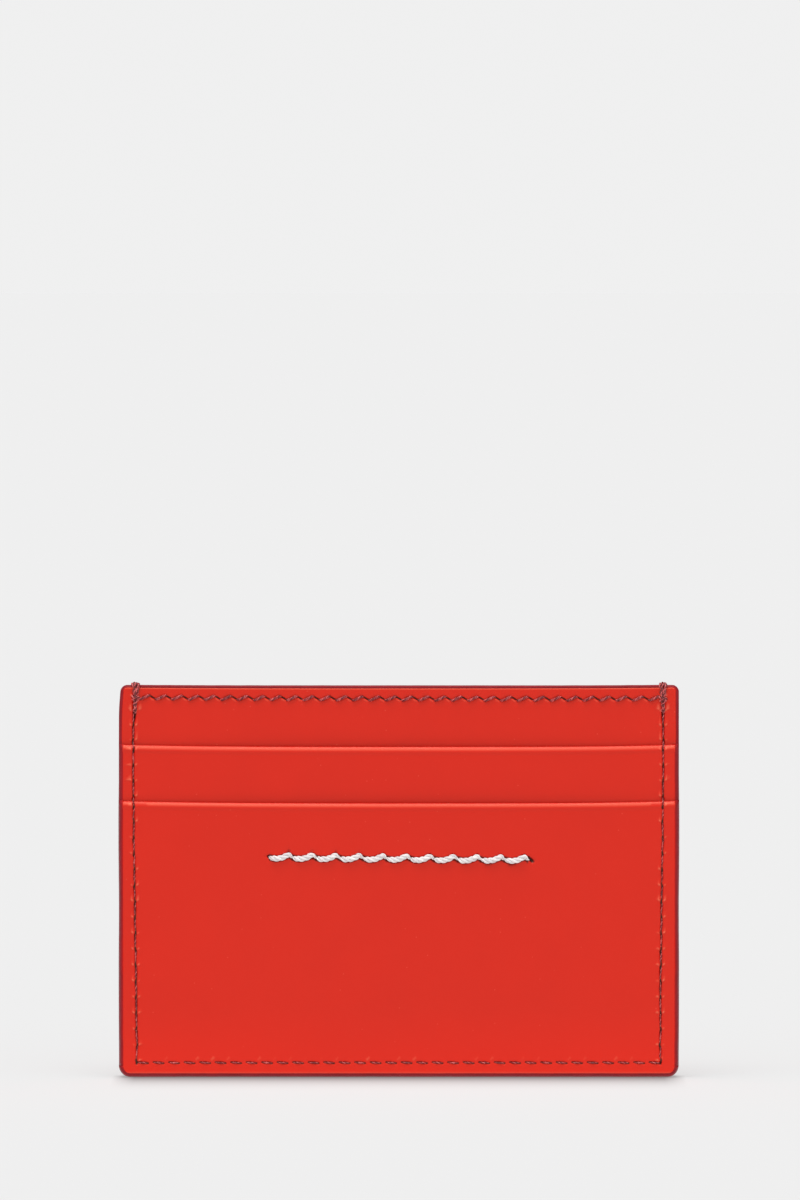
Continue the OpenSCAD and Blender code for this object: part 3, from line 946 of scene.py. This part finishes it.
def maths(tree, operation, *values):
    """A Math node fed by sockets or numbers, as its output socket."""
    node = tree.nodes.new("ShaderNodeMath")
    node.operation = operation
    for socket, value in zip(node.inputs, values):
        if hasattr(value, "links"):
            tree.links.new(value, socket)
        else:
            socket.default_value = value
    return node.outputs[0]


def times(tree, first, second):
    """The product of two sockets or numbers."""
    return maths(tree, "MULTIPLY", first, second)


def pattern(tree, kind, vector, scale, **settings):
    """A texture node on a vector, with its scale per metre and other sockets set."""
    node = tree.nodes.new(kind)
    tree.links.new(vector, node.inputs["Vector"])
    node.inputs["Scale"].default_value = scale
    for name, value in settings.items():
        node.inputs[name.replace("_", " ")].default_value = value
    return node


def range_of(tree, value, low, high, to_low=0.0, to_high=1.0):
    """A value mapped from one range to another and held inside it."""
    node = tree.nodes.new("ShaderNodeMapRange")
    tree.links.new(value, node.inputs["Value"])
    for socket, number in zip(node.inputs[1:5], (low, high, to_low, to_high)):
        socket.default_value = number
    return node.outputs[0]


def parts_of(tree, vector):
    """The X, Y and Z of a vector, as outputs."""
    node = tree.nodes.new("ShaderNodeSeparateXYZ")
    tree.links.new(vector, node.inputs[0])
    return node.outputs


def painted_light_and_feather_of(tree):
    """The piece's own attribute of painted light and paint feather."""
    node = tree.nodes.new("ShaderNodeAttribute")
    node.attribute_name = "painted_light_and_feather"
    return node.outputs["Fac"]


def calf_grain_group():
    """Fine calf grain: pebbles, pores, rare light specks and slow mottling."""
    tree, inside, outside = group("calf_grain", {"Vector": None}, ["Height", "Mottle", "Speck"])
    vector = inside.outputs["Vector"]
    pebbles = pattern(tree, "ShaderNodeTexVoronoi", vector, 3600)
    folds = pattern(tree, "ShaderNodeTexNoise", vector, 900, Detail=4, Roughness=0.6)
    fine = pattern(tree, "ShaderNodeTexNoise", vector, 5200, Detail=2)
    height = maths(tree, "ADD", times(tree, pebbles.outputs["Distance"], 0.35),
                   times(tree, folds.outputs["Fac"], 0.9))
    height = maths(tree, "ADD", height, times(tree, fine.outputs["Fac"], 0.25))
    tree.links.new(height, outside.inputs["Height"])
    mottle = pattern(tree, "ShaderNodeTexNoise", vector, 95, Detail=5, Roughness=0.55)
    tree.links.new(mottle.outputs["Fac"], outside.inputs["Mottle"])
    specks = pattern(tree, "ShaderNodeTexVoronoi", vector, 420, Randomness=1)
    speck = range_of(tree, specks.outputs["Distance"], 0.035, 0.06, 1, 0)
    tree.links.new(speck, outside.inputs["Speck"])
    return tree


def fibre_group():
    """Fine fibres of a spun thread: a height and a shade between them."""
    tree, inside, outside = group("spun_fibre", {"Vector": None, "Scale": 9000.0}, ["Height", "Shade"])
    hair = tree.nodes.new("ShaderNodeTexNoise")
    tree.links.new(inside.outputs["Vector"], hair.inputs["Vector"])
    tree.links.new(inside.outputs["Scale"], hair.inputs["Scale"])
    hair.inputs["Detail"].default_value = 3
    tree.links.new(hair.outputs["Fac"], outside.inputs["Height"])
    patches = pattern(tree, "ShaderNodeTexNoise", inside.outputs["Vector"], 1800, Detail=2)
    tree.links.new(range_of(tree, patches.outputs["Fac"], 0.3, 0.7), outside.inputs["Shade"])
    return tree


def weave_group():
    """Plain weave from two crossed waves along X and Z."""
    tree, inside, outside = group("plain_weave", {"Vector": None, "Threads": 2600.0}, ["Height", "Shade"])
    at = parts_of(tree, inside.outputs["Vector"])
    warp = maths(tree, "SINE", times(tree, at["X"], inside.outputs["Threads"]))
    weft = maths(tree, "SINE", times(tree, at["Z"], inside.outputs["Threads"]))
    crossed = times(tree, warp, weft)
    tree.links.new(range_of(tree, crossed, -1, 1), outside.inputs["Height"])
    tree.links.new(range_of(tree, crossed, -0.6, 0.6, 0.75, 1), outside.inputs["Shade"])
    return tree


def new_material(name, roughness, specular, sheen=0.0):
    """A material with its Principled shader and object coordinates."""
    material = bpy.data.materials.new(name)
    material.use_nodes = True
    tree = material.node_tree
    shader = tree.nodes["Principled BSDF"]
    shader.inputs["Roughness"].default_value = roughness
    shader.inputs["Specular IOR Level"].default_value = specular
    shader.inputs["Sheen Weight"].default_value = sheen
    spot = tree.nodes.new("ShaderNodeTexCoord").outputs["Object"]
    return material, tree, shader, spot


def use_group(tree, made, spot):
    """Places a shared node group in a material, on its object coordinates."""
    node = tree.nodes.new("ShaderNodeGroup")
    node.node_tree = made
    tree.links.new(spot, node.inputs["Vector"])
    return node


def blend_colour(tree, amount, first, second):
    """A colour between two, by a mask. Either colour may be a socket."""
    node = tree.nodes.new("ShaderNodeMix")
    node.data_type = "RGBA"
    for socket, value in ((node.inputs[0], amount), (node.inputs[6], first), (node.inputs[7], second)):
        if hasattr(value, "links"):
            tree.links.new(value, socket)
        elif isinstance(value, tuple):
            socket.default_value = (*value, 1)
        else:
            socket.default_value = value
    return node.outputs[2]


def surface(tree, shader, colour, height, distance, strength):
    """Gives a shader its colour, and a relief whose full height is the distance in metres."""
    tree.links.new(colour, shader.inputs["Base Color"])
    node = tree.nodes.new("ShaderNodeBump")
    node.inputs["Distance"].default_value = distance
    node.inputs["Strength"].default_value = strength
    tree.links.new(height, node.inputs["Height"])
    tree.links.new(node.outputs[0], shader.inputs["Normal"])


def make_face_leather():
    """Smooth red calf: even colour, faint mottling, painted shade in the pressed marks, painted highlights
    on puckers, rims and lips, and painted bounce light from the floor along the base.
    """
    material, tree, shader, spot = new_material("red_calf_leather", 0.38, 0.5)
    shader.inputs["Specular Tint"].default_value = (1, 0.86, 0.62, 1)
    grain = use_group(tree, GRAIN, spot)
    colour = blend_colour(tree, grain.outputs["Mottle"], (0.73, 0.006, 0.001), (0.79, 0.009, 0.002))
    speck = times(tree, grain.outputs["Speck"], 0.5)
    colour = blend_colour(tree, speck, colour, (0.9, 0.09, 0.06))
    # Painted bounce light from the floor: the lowest 12 mm of leather lighter and redder.
    painted_floor_bounce = range_of(tree, parts_of(tree, spot)["Z"], 0.0, 0.012, 1, 0)
    colour = blend_colour(tree, painted_floor_bounce, colour, (0.84, 0.007, 0.001))
    marks = painted_light_and_feather_of(tree)
    # Painted shade in the holes, furrows and beds of the marks.
    colour = blend_colour(tree, range_of(tree, marks, 0.12, 0.6), colour, (0.05, 0.001, 0.002))
    # Painted highlight on puckers, rims and lips, where the value falls below nothing.
    painted_highlight = range_of(tree, marks, -0.05, -0.8, 0, 0.85)
    colour = blend_colour(tree, painted_highlight, colour, (0.98, 0.14, 0.075))
    tree.links.new(range_of(tree, grain.outputs["Mottle"], 0.3, 0.7, 0.33, 0.41), shader.inputs["Roughness"])
    surface(tree, shader, colour, grain.outputs["Height"], 0.00002, 0.5)
    return material


def make_filler():
    """Raw leather fibre at the cut ends of the filler strips."""
    material, tree, shader, spot = new_material("filler_fibre", 0.85, 0.2)
    fibre = use_group(tree, FIBRE, spot)
    fibre.inputs["Scale"].default_value = 5000
    colour = blend_colour(tree, fibre.outputs["Shade"], (0.2, 0.02, 0.015), (0.3, 0.03, 0.022))
    surface(tree, shader, colour, fibre.outputs["Height"], 0.00004, 0.6)
    return material


def make_lining():
    """Plain woven red lining, darker between its threads."""
    material, tree, shader, spot = new_material("woven_lining", 0.75, 0.25, sheen=0.15)
    weave = use_group(tree, WEAVE, spot)
    fibre = use_group(tree, FIBRE, spot)
    uneven = range_of(tree, fibre.outputs["Shade"], 0, 1, 0.85, 1)
    shade = times(tree, weave.outputs["Shade"], uneven)
    colour = blend_colour(tree, shade, (0.12, 0.008, 0.007), (0.42, 0.02, 0.016))
    surface(tree, shader, colour, weave.outputs["Height"], 0.00004, 0.7)
    return material


def make_paint():
    """Edge paint: a satin burgundy coat, thinner and redder where it feathers onto the face; this redder
    part is also painted light where the rounded edge turns to the front.
    """
    material, tree, shader, spot = new_material("burgundy_edge_paint", 0.42, 0.18)
    patches = pattern(tree, "ShaderNodeTexNoise", spot, 260, Detail=4, Roughness=0.6)
    colour = blend_colour(tree, range_of(tree, patches.outputs["Fac"], 0.3, 0.7),
                          (0.25, 0.009, 0.015), (0.33, 0.015, 0.024))
    feather_and_light = range_of(tree, painted_light_and_feather_of(tree), 0.1, 1.0, 0.0, 0.8)
    colour = blend_colour(tree, feather_and_light, colour, (0.72, 0.009, 0.003))
    tree.links.new(range_of(tree, patches.outputs["Fac"], 0.3, 0.7, 0.36, 0.5), shader.inputs["Roughness"])
    surface(tree, shader, colour, patches.outputs["Fac"], 0.00005, 0.5)
    return material


def make_thread(name, painted_ply_shade, dark, light, roughness):
    """A spun thread between two shades of its colour, with painted shade that darkens one ply most, so that
    the twist shows.
    """
    material, tree, shader, spot = new_material(name, roughness, 0.45, sheen=0.1)
    fibre = use_group(tree, FIBRE, spot)
    colour = blend_colour(tree, fibre.outputs["Shade"], dark, light)
    colour = blend_colour(tree, times(tree, painted_light_and_feather_of(tree), 0.8), colour, painted_ply_shade)
    surface(tree, shader, colour, fibre.outputs["Height"], 0.00003, 0.6)
    return material


GRAIN, FIBRE, WEAVE = calf_grain_group(), fibre_group(), weave_group()

# Each look is a material and the name of a slot
FACE_LEATHER = make_face_leather(), "face_leather"
FILLER = make_filler(), "filler_leather"
LINING = make_lining(), "lining_fabric"
PAINT = make_paint(), "edge_paint"
# The first colour of each thread is the painted shade of its darkest ply.
SEAM_THREAD = make_thread("seam_thread_red", (0.09, 0.002, 0.004), (0.45, 0.022, 0.03),
                          (0.88, 0.2, 0.19), 0.36), "seam_thread"
HEAVY_THREAD = make_thread("heavy_thread_red", (0.12, 0.004, 0.008), (0.38, 0.018, 0.024),
                           (0.78, 0.13, 0.13), 0.36), "heavy_thread"
CORD = make_thread("white_cord", (0.79, 0.76, 0.77), (0.94, 0.91, 0.91), (0.98, 0.96, 0.94),
                   0.6), "contrast_cord"


# ---- Stage ----

PALE = (0.869, 0.869, 0.869)
CONTACT_POWER = 3
SKY_BASE = 0.2
SKY_ABOVE = 0.41
SKY_BEFORE = -0.5
SKY_LEAST = 0.02
CAMERA_DISTANCE = 2.2
CAMERA_ELEVATION = 3
LENS_PER_METRE = 168
AIM = Vector((0.0002, 0, 0.05016))


def make_floor():
    """A pale floor, glowing in part so that it stays evenly bright, with a painted contact shadow before the
    holder's base that only the camera sees.
    """
    bm = bmesh.new()
    bmesh.ops.create_grid(bm, x_segments=1, y_segments=1, size=30)
    mesh = mesh_of("studio_floor", bm)
    floor = add_object("studio_floor", mesh)
    material, tree, shader, spot = new_material("pale_floor", 0.9, 0.0)
    at = parts_of(tree, spot)
    # The masks below paint a contact shadow before the holder's base, which only camera rays see.
    beside = range_of(tree, maths(tree, "ABSOLUTE", at["X"]), 0.0472, 0.0512, 1, 0)
    before = range_of(tree, at["Y"], -0.0445, -0.0045, 0, 1)
    behind = range_of(tree, at["Y"], 0.001, 0.005, 1, 0)
    painted_contact_shadow = times(tree, times(tree, beside, behind), maths(tree, "POWER", before, CONTACT_POWER))
    seen = tree.nodes.new("ShaderNodeLightPath").outputs["Is Camera Ray"]
    painted_contact_shadow = times(tree, painted_contact_shadow, seen)
    tree.links.new(blend_colour(tree, painted_contact_shadow, (0.31, 0.31, 0.31), (0.13, 0.125, 0.125)),
                   shader.inputs["Base Color"])
    tree.links.new(blend_colour(tree, painted_contact_shadow, (0.522, 0.522, 0.522), (0.235, 0.225, 0.225)),
                   shader.inputs["Emission Color"])
    shader.inputs["Emission Strength"].default_value = 1
    mesh.materials.append(material)


def make_world():
    """Soft light all round, brighter overhead; the camera sees the plain pale tone."""
    world = bpy.data.worlds.new("studio")
    bpy.context.scene.world = world
    world.use_nodes = True
    tree = world.node_tree
    lit = tree.nodes["Background"]
    direction = tree.nodes.new("ShaderNodeTexCoord").outputs["Generated"]
    at = parts_of(tree, direction)
    above = times(tree, at["Z"], SKY_ABOVE)
    before = times(tree, at["Y"], SKY_BEFORE)
    level = maths(tree, "ADD", maths(tree, "ADD", above, before), SKY_BASE)
    level = maths(tree, "MAXIMUM", level, SKY_LEAST)
    tree.links.new(level, lit.inputs["Strength"])
    lit.inputs["Color"].default_value = (1, 1, 1, 1)
    seen = tree.nodes.new("ShaderNodeBackground")
    seen.inputs["Color"].default_value = (*PALE, 1)
    chooser = tree.nodes.new("ShaderNodeMixShader")
    tree.links.new(tree.nodes.new("ShaderNodeLightPath").outputs["Is Camera Ray"], chooser.inputs[0])
    tree.links.new(lit.outputs[0], chooser.inputs[1])
    tree.links.new(seen.outputs[0], chooser.inputs[2])
    tree.links.new(chooser.outputs[0], tree.nodes["World Output"].inputs[0])


def make_sun(name, azimuth, elevation, strength, softness):
    """A broad distant light. Azimuth 0 shines from the front, and 90 from the right."""
    light = bpy.data.lights.new(name, "SUN")
    light.energy = strength
    light.angle = math.radians(softness)
    lamp = add_object(name, light)
    a, e = math.radians(azimuth), math.radians(elevation)
    towards = Vector((math.sin(a) * math.cos(e), -math.cos(a) * math.cos(e), math.sin(e)))
    lamp.rotation_euler = towards.to_track_quat("Z", "Y").to_euler()
    lamp.location = towards * 2


def make_camera():
    """A long lens, a little above the holder, which sits low in the upright frame."""
    elevation = math.radians(CAMERA_ELEVATION)
    camera = bpy.data.cameras.new("camera")
    camera.sensor_width = 36
    camera.lens = LENS_PER_METRE * CAMERA_DISTANCE
    camera.clip_end = 60
    holder = add_object("camera", camera)
    bpy.context.scene.camera = holder
    middle = Vector((0, 0, TOP_Z / 2 * MM))
    aim = middle + AIM
    away = Vector((aim.x / CAMERA_DISTANCE, -math.cos(elevation), math.sin(elevation)))
    holder.location = middle + away * CAMERA_DISTANCE
    holder.rotation_mode = "QUATERNION"
    holder.rotation_quaternion = (aim - holder.location).to_track_quat("-Z", "Y")


# ---- Making ----

bpy.context.scene.view_settings.view_transform = "Standard"
make_camera()
make_world()
make_floor()
make_sun("overhead_soft_light", azimuth=-25, elevation=78, strength=2.0, softness=50)
for leaf in ("front", "rear"):
    make_outer_panel(leaf)
    make_mid_band(leaf)
    make_inner_panel(leaf)
    make_inside(leaf)
    make_seam_threads(leaf)
    make_top_row(leaf)
make_fillers("", "centre_filler")
make_edges()
make_contrast_cord()
for sign in (-1, 1):
    make_tack(sign)
